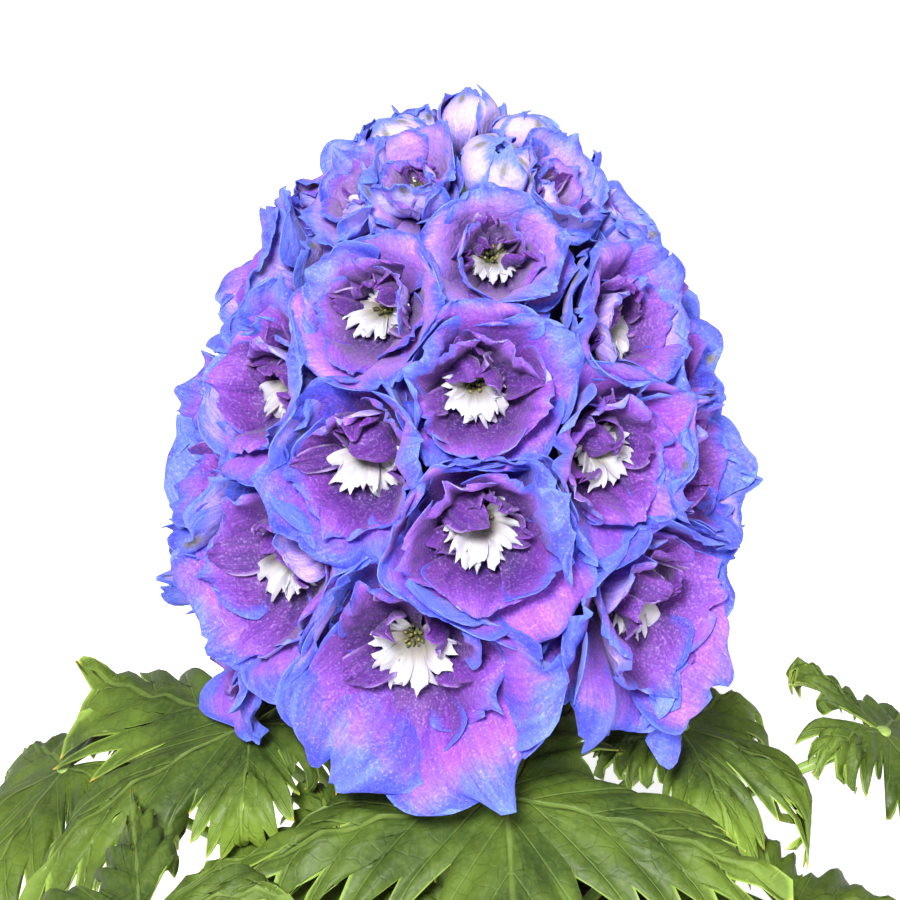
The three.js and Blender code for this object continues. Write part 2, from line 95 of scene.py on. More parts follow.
# That reach swells and shrinks by a share of it, in waves round the stem (turns) and up it (mm a radian)
HEAD_WAVE = Values(share=0.055, turns=7, rise=4, slow_turns=3, slow_rise=9)
DOME = Values(fall=45, radius=130, power=2.2)  # the leaves drape over it: it has fallen by fall at radius
FLORET_FLOOR = -26  # petals stay above a floor at this height over HEAD_BASE, less the dome's fall
RECEPTACLE_DEPTH = 4  # behind the petals
# A floret's and a bud's receptacle: (place along the axis, radius)
RECEPTACLE = [(-RECEPTACLE_DEPTH, 1.3), (-2.5, 1.7), (-0.5, 3.0), (0.8, 3.0), (1.6, 1.2)]
BUD_RECEPTACLE = [(-RECEPTACLE_DEPTH, 1.3), (-1, 2.6), (2, 2.4), (5, 0.8)]

# Rings of petals, from a floret's back to its throat, and a bud's one ring. length is in sepal lengths and
# width is a half-width in petal lengths. margin keeps a petal off its cell's walls, and follow is the share
# of the floret's own opening that the ring follows. leans: (place along the petal, degrees that it leans
# from the floret's axis there) where the opening is USUAL_OPENING. kind and blueness are for the material.
USUAL_OPENING = 80
BACK = Values(
    count=5, turn=36, length=0.88, width=0.52, lift=-0.8, cup=0.2, ruffle=2.4, margin=-1.6, follow=0.6,
    rows=10, columns=9, seed=200, kind=0.0, blueness=0.35, leans=[(0, 88), (0.3, 80), (0.7, 74), (1, 108)],
)
OUTER = Values(
    count=5, turn=0, length=0.93, width=0.6, lift=0, cup=0.3, ruffle=3.2, margin=-1.6, follow=0.6,
    rows=17, columns=15, seed=0, kind=0.0, blueness=0.35,
    leans=[(0, 84), (0.2, 68), (0.5, 44), (0.75, 52), (1, 124)],
)
INNER = Values(
    count=5, turn=36, length=0.68, width=0.58, lift=1.2, cup=0.5, ruffle=2.4, margin=1.8, follow=0.8,
    rows=15, columns=13, seed=100, kind=0.5, blueness=-0.6,
    leans=[(0, 78), (0.3, 64), (0.6, 36), (0.85, 32), (1, 78)],
)
BUD_RING = Values(
    count=5, turn=0, length=1.2, width=0.42, lift=0, cup=0.9, ruffle=0.5, margin=0.1, follow=1,
    rows=15, columns=12, seed=0, kind=0.0, blueness=0.35,
    leans=[(0, 84), (0.25, 60), (0.55, 42), (0.8, 0), (1, -20)],
)
RUFFLED_LENGTH = 36  # length of the sepals that the rings' ruffles are given for
RUFFLES = [(2.5, 0.45), (5, 0.5), (9, 0.38)]  # waves round a petal's rim: (waves a radian, size)
STANDING = 28  # one outer petal of each floret leans this much less than the others, in degrees
UPPER_LIP = 26  # the inner petals above the throat bend this much further over it
PETAL_THICKNESS = 0.45
# Petaloids stand round the throat over fan degrees. The sizes are for a floret with sepals of length floret.
THROAT = Values(
    petaloids=5, length=17, width=5.8, ring=5.8, fan=215, petaloid_thickness=0.4, bee=15, bee_width=4.7,
    bee_thickness=0.35, anthers=14, floret=38,
)
# White petals round the throat: (degrees from its top, share of the full size)
BEE_PETALS = [(180, 1.05), (144, 0.95), (214, 1.0), (106, 0.85), (252, 0.75), (62, 0.6), (-60, 0.55)]
BEE_RISE = 1.6  # the throat's parts sit this far above the floret's axis
PETAL, BEE, ANTHER, GREEN = range(4)  # a floret's materials in their order
BLADE, STALK = range(2)  # and a leaf's

# radii are at the lower and the upper end
STEM = Values(tip=338.0, radii=[6, 2.2], ribs=0.035, rows=40, sides=30)
PEDICEL = Values(radii=(1.6, 1.2), fall=0.35, sag=0.6, rows=9, sides=8)
BRACT = Values(length=8, width=0.9, below=7, thickness=0.35)

LOBES = (-130, -66, 0, 66, 130)  # headings of a leaf's lobes


def leaf(azimuth, radius, height, length, **unusual):
    """A leaf whose petiole and blade join at a radius off the stem and a height over the dome. For each lobe,
    curls are the degrees that its end curls down, shares its length as a share of the leaf's, and hooks the
    share of the usual curl of its teeth. turn and spread change the lobes' headings."""
    place = dict(azimuth=azimuth, radius=radius, height=height, length=length)
    usual = dict(
        curls=[10, 30, 50, 30, 10], shares=[0.68, 0.95, 1, 0.95, 0.68], hooks=[1] * 5, turn=0, spread=1,
    )
    return Values(**place, **{**usual, **unusual})


STEM_LEAVES = [
    leaf(12, 56, -31, 78, curls=[10, 10, 40, -30, 0], turn=-10, spread=1.2, hooks=[0.35] * 5),
    leaf(-68, 56, -30, 76, curls=[0, -75, 30, 230, 0], shares=[0.68, 1.05, 1.0, 0.64, 0.55],
         hooks=[1, 0.3, 1, 0.1, 1]),
    leaf(82, 58, -38, 54, curls=[0, 130, 260, 90, 0], hooks=[1, 0.6, 0.2, 0.8, 1]),
    leaf(146, 54, -44, 60, curls=[0, 30, 40, 20, 0]),
    leaf(-162, 55, -56, 58, curls=[0, 10, 30, 10, 0]),
    leaf(-114, 54, -48, 64, curls=[0, 10, 40, 10, 0], shares=[0.68, 0.95, 1.0, 0.95, 0.5]),
    leaf(-28, 60, -44, 52, curls=[10, 20, 60, 20, 10]),
]
BASAL_LEAVES = [
    leaf(-42, 112, -22, 66, curls=[0, 50, 70, 30, 0]),
    leaf(60, 94, -54, 64),
    leaf(92, 112, -22, 56, curls=[0, 30, 40, 30, 0]),
    leaf(160, 96, -62, 60),
    leaf(-148, 96, -72, 60),
    leaf(-92, 104, -38, 66),
    leaf(-14, 88, -66, 62, curls=[10, 30, 40, 30, 10], turn=12),
    leaf(26, 96, -74, 62, curls=[10, 30, 40, 30, 10]),
]
LEAF = Values(
    thickness=0.7, arch=0.22, web=0.3, outer_half=29, curl_start=0.45, hook_start=0.6, rows=14, steps=3,
)
RIM_CURL = 12  # degrees that a leaf's rim curls over
TOOTH_CURL = (118, 88)  # further degrees that a tooth curls over, and the most that this differs
TIP_CURL = (80.0, 60.0)  # the same for a lobe's tip
# One side of a lobe from its web to its tip, in lobe lengths along and across: tooth, notch, tooth and so on
LOBE_EDGE = [
    (0.50, 0.285), (0.43, 0.195), (0.68, 0.28), (0.54, 0.14), (0.77, 0.19),
    (0.67, 0.1), (0.87, 0.12), (0.76, 0.045), (1.0, 0.0),
]
VEIN_SPACING = 0.2  # side veins leave a lobe's midrib at these steps, in lobe lengths
VEIN_SLANT = 1.43  # and run this far along the lobe for each step aside
PETIOLE = Values(radii=[1.8, 1.53, 1.9], soil_ring=20, soil_depth=14, stem_drop=52, sides=10)

# The pot's wall leans out by taper, and the rim stands out from it by rim_out
POT = Values(rim=15, rim_out=3.2, wall=2.4, taper=18, foot=20, sides=96)
DRAIN = Values(count=4, ring=36, radius=5, depth=12, sides=24)
SOIL_TOP = 111
SOIL_DOME = 5
SOIL_GAP = 0.45  # between the potting mix and the pot's wall
CRUMBS = Values(count=420, size=1.4, vary=0.9, perlite_step=13, rough=0.22)

# The stage, in metres and watts. Lights: name, place, size and power
LIGHTS = [("key", (-0.25, -1.2, 1.3), 0.36, 57), ("fill", (0.9, -0.9, 0.8), 0.8, 6)]
LIGHTS_AIM = (0, 0, 0.26)
FLOOR = Values(size=12, grey=0.9, glow=0.52)
SURROUND_STRENGTH = 0.37
CAMERA = Values(elevation=25, distance=700, target=(-2, 0, 274.5), lens=112, sensor=36)


# ---------- Small tools ----------
def jitter(n, k):
    """A repeatable draw in -1..1 for item k of number n."""
    return 2 * (sin(n * 12.9898 + k * 78.233) * 43758.5453 % 1) - 1


def profile(table, x):
    """The value at x, or at each x, of a table of (x, value)."""
    return np.interp(x, *zip(*table))


def outward(azimuth):
    """The unit vector that points outwards from the stem at an azimuth in radians."""
    return np.array([sin(azimuth), -cos(azimuth), 0.0])


def unit(vectors):
    return vectors / np.maximum(np.linalg.norm(vectors, axis=-1, keepdims=True), 1e-9)


def smooth(t):
    t = np.clip(t, 0, 1)
    return t * t * (3 - 2 * t)


def soft_excess(x, softness):
    """x where it is positive and 0 where it is negative, with a round corner between."""
    return 0.5 * (x + np.sqrt(x * x + softness * softness))


def grid_quads(rows, columns):
    """Quads of a grid of points, and its outline as pairs of point numbers, both in one turning sense."""
    at = np.arange(rows * columns).reshape(rows, columns)
    quads = np.stack([at[:-1, :-1], at[1:, :-1], at[1:, 1:], at[:-1, 1:]], -1).reshape(-1, 4)
    loop = np.concatenate([at[:-1, 0], at[-1, :-1], at[:0:-1, -1], at[0, :0:-1]])
    return quads, np.stack([loop, np.roll(loop, -1)], -1)


def ring_quads(rows, sides, first=0):
    """Numbers of the points in rings, the numbers one step round from them, and the quads between rings."""
    at = first + np.arange(rows * sides).reshape(rows, sides)
    after = np.roll(at, -1, axis=1)
    return at, after, np.stack([at[:-1], after[:-1], after[1:], at[1:]], -1).reshape(-1, 4)


class Piece:
    """Gathers faces for one Blender object, with the two vectors that its materials read at each point."""

    def __init__(self):
        self.points, self.faces, self.plan, self.vary, self.slots = [], [], [], [], []
        self.count = 0

    def add(self, points, faces, plan, vary, material=0):
        points = points.reshape(-1, 3)
        self.points.append(points)
        self.plan.append(plan.reshape(-1, 3))
        self.vary.append(np.broadcast_to(np.asarray(vary, float), points.shape))
        for block in faces:
            self.faces += (block + self.count).tolist()
            self.slots += [material] * len(block)
        self.count += len(points)

    def add_blade(self, middle, thickness, plan, vary=PLAIN, material=0, front=1):
        """A closed blade about a grid of points. front tells which way its front face looks."""
        rows, columns, _ = middle.shape
        normal = unit(np.cross(np.gradient(middle, axis=0), np.gradient(middle, axis=1))) * front
        half = normal * np.broadcast_to(thickness, (rows, columns))[..., None] / 2
        quads, loop = grid_quads(rows, columns)
        if front < 0:
            quads, loop = quads[:, ::-1], loop[:, ::-1]
        count = rows * columns
        rim = np.stack([loop[:, 1], loop[:, 0], loop[:, 0] + count, loop[:, 1] + count], -1)
        sides = [np.dstack([plan, np.full((rows, columns), side)]) for side in (0.0, 1.0)]
        points = np.concatenate([(middle + half).reshape(-1, 3), (middle - half).reshape(-1, 3)])
        numbers = np.concatenate([side.reshape(-1, 3) for side in sides])
        if np.ndim(vary) > 1:
            vary = np.concatenate([vary.reshape(-1, 3)] * 2)
        self.add(points, [quads, quads[:, ::-1] + count, rim], numbers, vary, material)

    def add_tube(self, path, radii, sides, material=0, ridges=0.0):
        """A closed round tube along a path of points."""
        tangent = unit(np.gradient(path, axis=0))
        first = unit(np.cross(tangent[0], [0.31, 0.95, 0.11]))
        frame = [first]
        for along in tangent[1:]:
            frame.append(unit(frame[-1] - along * np.dot(frame[-1], along)))
        frame = np.array(frame)
        other = np.cross(tangent, frame)
        turn = np.linspace(0, 2 * pi, sides, endpoint=False)
        swell = (1 + ridges * np.cos(turn * 5))[None, :, None] * np.asarray(radii)[:, None, None]
        ring = np.cos(turn)[None, :, None] * frame[:, None] + np.sin(turn)[None, :, None] * other[:, None]
        points = path[:, None] + ring * swell
        at, _, quads = ring_quads(len(path), sides)
        u, v = np.meshgrid(np.linspace(0, 1, len(path)), turn / (2 * pi), indexing="ij")
        ends = [at[0][::-1][None], at[-1][None]]
        self.add(points, [quads, *ends], np.dstack([u, v, np.zeros_like(u)]), PLAIN, material)

    def add_blob(self, centre, axes, vary=PLAIN, material=0, rough=0.0, seed=0, rings=4, sides=6):
        """A closed lump: axes are its three half-axes as vectors."""
        polar = np.linspace(0, pi, rings + 1)[1:-1]
        turn = np.linspace(0, 2 * pi, sides, endpoint=False)
        p, t = np.meshgrid(polar, turn, indexing="ij")
        ball = np.stack([np.sin(p) * np.cos(t), np.sin(p) * np.sin(t), np.cos(p)], -1).reshape(-1, 3)
        ball = np.concatenate([[[0, 0, 1.0]], ball, [[0, 0, -1.0]]])
        ball = ball * (1 + rough * np.array([[jitter(seed, i)] for i in range(len(ball))]))
        at, after, quads = ring_quads(len(polar), sides, 1)
        top = np.stack([np.zeros(sides, int), at[0], after[0]], -1)
        bottom = np.stack([np.full(sides, len(ball) - 1), after[-1], at[-1]], -1)
        faces = [quads[:, [0, 3, 2, 1]], top, bottom]
        self.add(centre + ball @ np.asarray(axes), faces, ball, vary, material)

    def finish(self, name, slot, materials, replaces):
        mesh = bpy.data.meshes.new(name)
        mesh.from_pydata(np.concatenate(self.points) * MM, [], self.faces)
        for key, values in (("plan", self.plan), ("vary", self.vary)):
            attribute = mesh.attributes.new(key, "FLOAT_VECTOR", "POINT")
            attribute.data.foreach_set("vector", np.concatenate(values).astype(np.float32).ravel())
        mesh.polygons.foreach_set("material_index", self.slots)
        mesh.shade_smooth()
        mesh.set_sharp_from_angle(angle=radians(SHARP_EDGE))
        for material in materials:
            mesh.materials.append(material)
        piece = bpy.data.objects.new(name, mesh)
        bpy.context.scene.collection.objects.link(piece)
        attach(piece, "root")
        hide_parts(replaces)
        return piece


class Look:
    """A material being made: each method adds a node and returns its output."""

    def __init__(self, name, **settings):
        self.material = bpy.data.materials.new(name)
        self.material.use_nodes = True
        self.tree = self.material.node_tree
        self.shader = self.tree.nodes["Principled BSDF"]
        for key, value in settings.items():
            self.shader.inputs[key.replace("_", " ").title().replace("Ior", "IOR")].default_value = value

    def node(self, kind, inputs, output=0, **settings):
        node = self.tree.nodes.new("ShaderNode" + kind)
        for key, value in settings.items():
            setattr(node, key, value)
        for key, value in inputs.items():
            if isinstance(value, bpy.types.NodeSocket):
                self.tree.links.new(value, node.inputs[key])
            else:
                node.inputs[key].default_value = value
        return node.outputs[output]

    def numbers(self, attribute):
        vector = self.node("Attribute", {}, "Vector", attribute_name=attribute)
        return tuple(self.node("SeparateXYZ", {0: vector}).node.outputs)

    def place(self):
        return self.node("TexCoord", {}, "Object")

    def vector(self, x, y, z):
        return self.node("CombineXYZ", {0: x, 1: y, 2: z})

    def math(self, operation, a, b=0.0):
        return self.node("Math", {0: a, 1: b}, operation=operation)

    def times(self, a, b):
        return self.math("MULTIPLY", a, b)

    def plus(self, a, b):
        return self.math("ADD", a, b)

    def absolute(self, value):
        return self.math("ABSOLUTE", value)

    def between(self, value, low, high, start=0.0, end=1.0):
        inputs = {"Value": value, "From Min": low, "From Max": high, "To Min": start, "To Max": end}
        return self.node("MapRange", inputs, interpolation_type="SMOOTHSTEP")

    def noise(self, vector, scale, detail=2.0, roughness=0.5, distortion=0.0):
        inputs = dict(Vector=vector, Scale=scale, Detail=detail, Roughness=roughness, Distortion=distortion)
        return self.node("TexNoise", inputs)

    def cells(self, vector, scale, feature="F1"):
        return self.node("TexVoronoi", {"Vector": vector, "Scale": scale}, "Distance", feature=feature)

    def mix(self, factor, a, b):
        a, b = [colour(x) if isinstance(x, str) else x for x in (a, b)]
        return self.node("Mix", {0: factor, 6: a, 7: b}, 2, data_type="RGBA")

    def over(self, base, *layers):
        """base under layers of colour, each given as how much of it shows and its colour."""
        for share, tint in layers:
            base = self.mix(share, base, tint)
        return base

    def gradient(self, value, stops):
        ramp = self.node("ValToRGB", {0: value}).node
        elements = ramp.color_ramp.elements
        while len(elements) < len(stops):
            elements.new(0.5)
        for element, (position, code) in zip(elements, stops):
            element.position = position
            element.color = colour(code)
        return ramp.outputs[0]

    def bump(self, height, distance, strength=1.0):
        return self.node("Bump", {"Height": height, "Distance": distance * MM, "Strength": strength})

    def finish(self, base, roughness=None, normal=None):
        for key, value in (("Base Color", base), ("Roughness", roughness), ("Normal", normal)):
            if value is not None:
                self.tree.links.new(value, self.shader.inputs[key])
        return self.material


def colour(code):
    """A linear colour from a display code such as "8a44c0"."""
    parts = [int(code[i:i + 2], 16) / 255 for i in (0, 2, 4)]
    return (*[c / 12.92 if c <= 0.04045 else ((c + 0.055) / 1.055) ** 2.4 for c in parts], 1.0)


# ---------- Materials ----------
def petal_marks(look):
    """Where a point lies on its petal, what petal it is, and the uneven patterns that its colours follow.
    plan is (along, across, back). vary is (blueness, kind, youth), where kind is 0 for a petal of the outer
    rings or of a bud, a half for an inner one and 1 for a petaloid."""
    along, across, back = look.numbers("plan")
    blueness, kind, youth = look.numbers("vary")
    aside = look.absolute(across)
    rim_side = look.times(look.math("POWER", aside, 3.0), look.between(along, 0.1, 0.6))
    rim = look.math("MAXIMUM", look.math("POWER", along, 4.0), rim_side)
    cloud = look.noise(look.place(), 70, 4, 0.6, 0.7)
    pool = look.vector(look.times(across, 2.6), along, look.times(blueness, 9.0))
    spread = look.plus(look.times(blueness, 0.5), look.times(cloud, 1.3))
    return Values(
        along=along, across=across, aside=aside, back=back, blueness=blueness, kind=kind, youth=youth,
        inner=look.between(kind, 0.1, 0.4), petaloid=look.between(kind, 0.6, 0.9), rim=rim, cloud=cloud,
        pool=look.noise(pool, 1.3, 4, 0.6, 0.5), margin=look.plus(rim, spread),
    )


def petal_violet(look, at):
    """Violet with pools of magenta. It deepens to the throat, most on inner petals, partly as the petals' own
    pigment and partly as painted shade of the deep cup and throat.
    """
    # painted shade: the near-black stops at the throat end stand partly for shade inside the cup, most on the
    # inner ring
    outer = look.gradient(at.along, [
        (0.0, "180828"), (0.3, "4a2080"), (0.6, "8046be"), (0.85, "8e5cd2"), (1.0, "826ae6"),
    ])
    inner = look.gradient(at.along, [
        (0.0, "0e0416"), (0.16, "1b0830"), (0.34, "301256"),
        (0.6, "521e7e"), (0.85, "7236a6"), (1.0, "8450ca"),
    ])
    violet = look.mix(at.inner, outer, inner)
    magenta = look.gradient(at.along, [(0.2, "5c2284"), (0.6, "9442b6"), (1.0, "a464d6")])
    magenta = look.mix(look.times(at.inner, 0.6), magenta, violet)
    return look.mix(look.between(at.pool, 0.38, 0.62, 0.0, 0.75), violet, magenta)


def petal_reverse(look, at, violet):
    """Blue violet, paler in pools and bluer at the margins. A petaloid's reverse is like its front."""
    base = look.gradient(at.along, [(0.0, "2a1c62"), (0.35, "4c3cac"), (0.7, "a488e6"), (1.0, "a2a4f8")])
    pale_pools = look.between(at.pool, 0.45, 0.65, 0.0, 0.8)
    margins = look.between(at.margin, 0.9, 1.4)
    return look.over(base, (pale_pools, "ceb0ee"), (margins, "5a70ee"), (at.petaloid, violet))


def olive_spot(look, at):
    """A spot near the end of the reverse, on petals of kind 0."""
    place = look.vector(look.math("SUBTRACT", at.along, 0.8), look.times(at.across, 0.8), 0.0)
    distance = look.node("VectorMath", {0: place}, "Value", operation="LENGTH")
    spot = look.times(look.between(distance, 0.14, 0.03), look.between(at.kind, 0.2, 0.0))
    return look.times(look.times(spot, at.back), 0.85)


def petal_look():
    """Violet with broad uneven blue margins, fine rays, specks and crumples; pale specks are painted glints.
    Young petals are pale, and petaloids have whitish sides in places, partly a pale rim and partly
    painted highlight."""
    look = Look(
        "petal", sheen_weight=0.1, subsurface_weight=0.1, subsurface_scale=0.002, specular_ior_level=0.36,
    )
    at = petal_marks(look)
    violet = petal_violet(look, at)
    blue = look.mix(look.between(at.pool, 0.35, 0.65), "3640cc", "5668ee")
    front = look.mix(look.between(at.margin, 0.92, 1.46), violet, blue)
    skin = look.mix(at.back, front, petal_reverse(look, at, violet))
    ray_place = look.vector(look.times(at.across, 26.0), look.times(at.along, 1.6), at.blueness)
    rays = look.noise(ray_place, 1.0, 3, 0.6)
    speck_and_glint = look.noise(look.place(), 1500, 2, 0.6)
    crumple = look.noise(look.place(), 380, 4, 0.6, 0.8)
    edge = look.between(look.plus(at.rim, look.times(at.cloud, 0.8)), 1.15, 1.5)
    pale = look.times(at.youth, look.between(at.back, 0.0, 1.0, 0.25, 0.5))
    pale = look.times(pale, look.between(at.rim, 0.7, 0.3))
    # Whitish sides of petaloids: partly a pale rim and partly painted highlight for their glints
    pale_rim_and_glint = look.times(at.petaloid, look.between(at.cloud, 0.4, 0.6))
    pale_rim_and_glint = look.times(pale_rim_and_glint, look.between(at.aside, 0.56, 0.72))
    skin = look.over(
        skin,
        (look.between(rays, 0.35, 0.7, 0.0, 0.34), "2c1464"),
        (look.between(rays, 0.62, 0.8, 0.0, 0.2), "c79af4"),
        (look.times(edge, look.between(at.inner, 0.0, 1.0, 0.34, 0.12)), "6e98fa"),
        (look.times(pale, look.between(at.along, 0.1, 0.6)), "dcc4f2"),
        (olive_spot(look, at), "6c6a34"),
        # painted highlight: the pale specks stand for glints on the petal; the dark specks on the next line
        # are texture
        (look.between(speck_and_glint, 0.5, 0.8, 0.0, 0.26), "cfb0fa"),
        (look.between(speck_and_glint, 0.5, 0.25, 0.0, 0.25), "2c1464"),
        # part pale rim, part painted highlight on petaloid sides
        (look.times(pale_rim_and_glint, 0.3), "e0d2f4"),
    )
    relief = look.plus(look.times(rays, 0.6), look.times(speck_and_glint, 0.12))
    relief = look.plus(relief, look.times(crumple, 1.6))
    return look.finish(skin, look.between(speck_and_glint, 0.5, 0.75, 0.55, 0.36), look.bump(relief, 0.6, 0.7))


def bee_look():
    """Papery white with violet streaks towards the edges and olive at the base. plan is as in a petal."""
    look = Look("bee", roughness=0.6, subsurface_weight=0.2, subsurface_scale=0.002)
    along, across, _ = look.numbers("plan")
    streak_place = look.vector(look.times(across, 7.0), look.times(along, 1.2), 0.0)
    streak = look.noise(streak_place, 1.0, 2)
    base = look.gradient(along, [(0.0, "55502f"), (0.3, "827c72"), (0.55, "a5a1a5"), (1.0, "b2aebb")])
    base = look.mix(look.between(streak, 0.6, 0.7, 0.0, 0.6), base, "9474c6")
    grain = look.noise(look.place(), 1400, 2)
    return look.finish(base, None, look.bump(look.plus(streak, look.times(grain, 0.2)), 0.4, 0.5))


def anther_look():
    """Blackish anthers dusted with yellow pollen."""
    look = Look("anther", roughness=0.7)
    dust = look.noise(look.place(), 900, 2)
    return look.finish(look.gradient(dust, [(0.35, "1c1a14"), (0.55, "4c4a2a"), (0.7, "a8a054")]))


def stalk_look():
    """Green stem, pedicel or petiole with streaks along it. plan is (along, around, 0)."""
    look = Look("stalk", roughness=0.45, subsurface_weight=0.1, subsurface_scale=0.003)
    along, around, _ = look.numbers("plan")
    streak = look.noise(look.vector(look.times(around, 9.0), along, 0.0), 1.0, 3)
    cloud = look.noise(look.place(), 90, 3)
    base = look.mix(look.between(streak, 0.3, 0.7), "5f7f34", "93ab52")
    base = look.mix(look.between(cloud, 0.45, 0.75, 0.0, 0.35), base, "a9bb62")
    hairs = look.noise(look.place(), 1800, 2)
    return look.finish(base, None, look.bump(look.plus(streak, look.times(hairs, 0.3)), 0.3, 0.5))


def leaf_look():
    """Olive green with pale midribs and side veins, a fine net, yellow-green curled ends and amber tips.
    plan is (along, across, underside), in lobe lengths; vary is (nearness to rim, tooth tip, yellowness)."""
    look = Look("leaf", subsurface_weight=0.08, subsurface_scale=0.003, specular_ior_level=0.25)
    along, across, under = look.numbers("plan")
    rim, tip, yellow = look.numbers("vary")
    place = look.place()
    aside = look.absolute(across)
    start = look.math("SUBTRACT", along, look.times(aside, VEIN_SLANT))
    step = look.math("FRACT", look.math("DIVIDE", look.plus(start, 0.03), VEIN_SPACING))
    offset = look.absolute(look.math("SUBTRACT", step, 0.5))
    side_vein = look.times(look.between(offset, 0.045, 0.01), look.between(start, -0.06, 0.03))
    vein = look.math("MAXIMUM", look.between(aside, 0.014, 0.003), look.times(side_vein, 0.7))
    net = look.between(look.cells(place, 210, "DISTANCE_TO_EDGE"), 0.09, 0.0)
    cloud = look.noise(place, 45, 3, 0.55)
    fine = look.noise(place, 700, 3)
    top = look.over(
        look.mix(look.between(cloud, 0.35, 0.7), "304216", "50651f"),
        (look.between(fine, 0.4, 0.7, 0.0, 0.18), "6c7e3c"),
        (look.times(net, 0.22), "26400f"),
        (look.times(vein, 0.3), "7e964a"),
    )
    below = look.mix(look.between(cloud, 0.35, 0.7), "708434", "8ea044")
    below = look.mix(look.times(vein, 0.7), below, "c3d58a")
    skin = look.over(
        look.mix(under, top, below),
        (look.times(yellow, look.between(along, 0.35, 1.0)), "86a234"),
        (look.between(rim, 0.96, 0.995, 0.0, 0.5), "95b24c"),
        (look.between(tip, 0.6, 1.0), "d3ab4c"),
    )
    relief = look.plus(look.times(vein, -0.8), look.times(net, -0.1))
    relief = look.plus(relief, look.times(fine, 0.25))
    return look.finish(skin, look.between(cloud, 0.3, 0.7, 0.46, 0.6), look.bump(relief, 0.8, 0.7))


def plastic_look():
    """Charcoal nursery-pot plastic, finely mottled and scuffed with paler patches."""
    look = Look("pot_plastic", roughness=0.5)
    place = look.place()
    mottle = look.noise(place, 260, 4, 0.6)
    scuff = look.noise(look.node("Mapping", {0: place, 3: (1.0, 1.0, 7.0)}), 30, 4, 0.6)
    base = look.mix(look.between(mottle, 0.35, 0.7), "26282a", "34373a")
    base = look.mix(look.between(scuff, 0.6, 0.75, 0.0, 0.5), base, "55544f")
    return look.finish(base, look.between(mottle, 0.3, 0.7, 0.42, 0.6), look.bump(mottle, 0.15, 0.5))


def mix_look():
    """Peaty potting mix: brown crumbs with paler fibres."""
    look = Look("potting_mix", roughness=0.95)
    _, _, kind = look.numbers("vary")
    place = look.place()
    crumbs = look.cells(place, 420)
    cloud = look.noise(place, 120, 4, 0.6)
    base = look.gradient(cloud, [(0.3, "1c120b"), (0.5, "33231a"), (0.68, "5a4230"), (0.8, "7a614a")])
    base = look.mix(look.between(crumbs, 0.35, 0.0, 0.0, 0.5), base, "120b07")
    base = look.mix(kind, base, "cfc9bd")
    return look.finish(base, None, look.bump(look.plus(cloud, crumbs), 1.2, 0.8))


# ---------- Florets ----------
def make_station(n):
    turn, shift = NUDGES.get(n, (0, 0))
    azimuth = radians(FIRST_AZIMUTH + GOLDEN_ANGLE * n + turn)
    squeeze = TIP_SQUEEZE * max(0, n - TIP_START) ** 2
    height = FIRST_HEIGHT + HEIGHT_STEP * n - squeeze + shift
    tilt = radians(profile(FACING_TILT, height))
    out = outward(azimuth)
    axis = out * cos(tilt) + UP * sin(tilt)
    rise = UP * cos(tilt) - out * sin(tilt)
    base = out * profile(RECEPTACLE_RADIUS, height) + UP * (HEAD_BASE + height)
    return Values(
        n=n, base=base, axis=axis, rise=rise, side=np.cross(rise, axis), height=height,
        length=profile(SEPAL_LENGTH, height), opening=profile(SEPAL_OPENING, height),
    )


def cell_planes(station, stations):
    """The planes halfway to the neighbours: a floret's sepals press against theirs there."""
    def centre(s):
        return s.base + s.axis * s.length * CELL.centre

    planes = []
    for other in stations:
        away = centre(other) - centre(station)
        distance = np.linalg.norm(away)
        if other is not station and distance < CELL.reach:
            normal = away / distance
            planes.append((normal, normal @ centre(station) + distance / 2 - CELL.gap / 2))
    return planes


def dome_fall(radius):
    """How far the leaves' common dome has fallen at a distance from the stem."""
    return DOME.fall * (radius / DOME.radius) ** DOME.power


def press_into_cell(points, planes, station, margin):
    """Bends points back from the neighbours' planes and outwards along the axis, rounds the cell's corners,
    and keeps the points inside the flower head's outline and above the leaves."""
    axis = station.axis
    for lift in (CELL.lift, 0, 0):
        for normal, offset in planes:
            beyond = points @ normal - (offset - margin)
            push = soft_excess(beyond, CELL.softness) if lift else np.maximum(beyond, 0)
            points = points + push[..., None] * (lift * axis - normal)
    away = points - station.base
    away = away - (away @ axis)[..., None] * axis
    reach = np.linalg.norm(away, axis=-1)
    room = station.length * profile(CELL_ROOM, station.opening)
    points = points - unit(away) * soft_excess(reach - room, CELL.softness)[..., None]
    x, y, z = points[..., 0], points[..., 1], points[..., 2]
    radius, turn = np.hypot(x, y), np.arctan2(y, x)
    wave = np.sin(HEAD_WAVE.turns * turn + z / HEAD_WAVE.rise)
    wave = wave * np.sin(HEAD_WAVE.slow_turns * turn + z / HEAD_WAVE.slow_rise)
    allowed = profile(HEAD_REACH, z - HEAD_BASE) * (1 + HEAD_WAVE.share * wave)
    points[..., :2] *= (1 - soft_excess(radius - allowed, CELL.softness) / radius)[..., None]
    floor = HEAD_BASE + FLORET_FLOOR - dome_fall(np.hypot(x, y))
    points[..., 2] = floor + soft_excess(z - floor, CELL.floor_softness)
    return points


def broad(u, claw=0.24, widest=0.6, blunt=0.42):
    """Share of a petal's full half-width at u along it: a claw, a broad middle and a round end."""
    falling = 1 - (1 - blunt**2) * np.clip((u - widest) / (1 - widest), 0, 1) ** 2
    return np.where(u < widest, claw + (1 - claw) * smooth(u / widest), np.sqrt(falling))


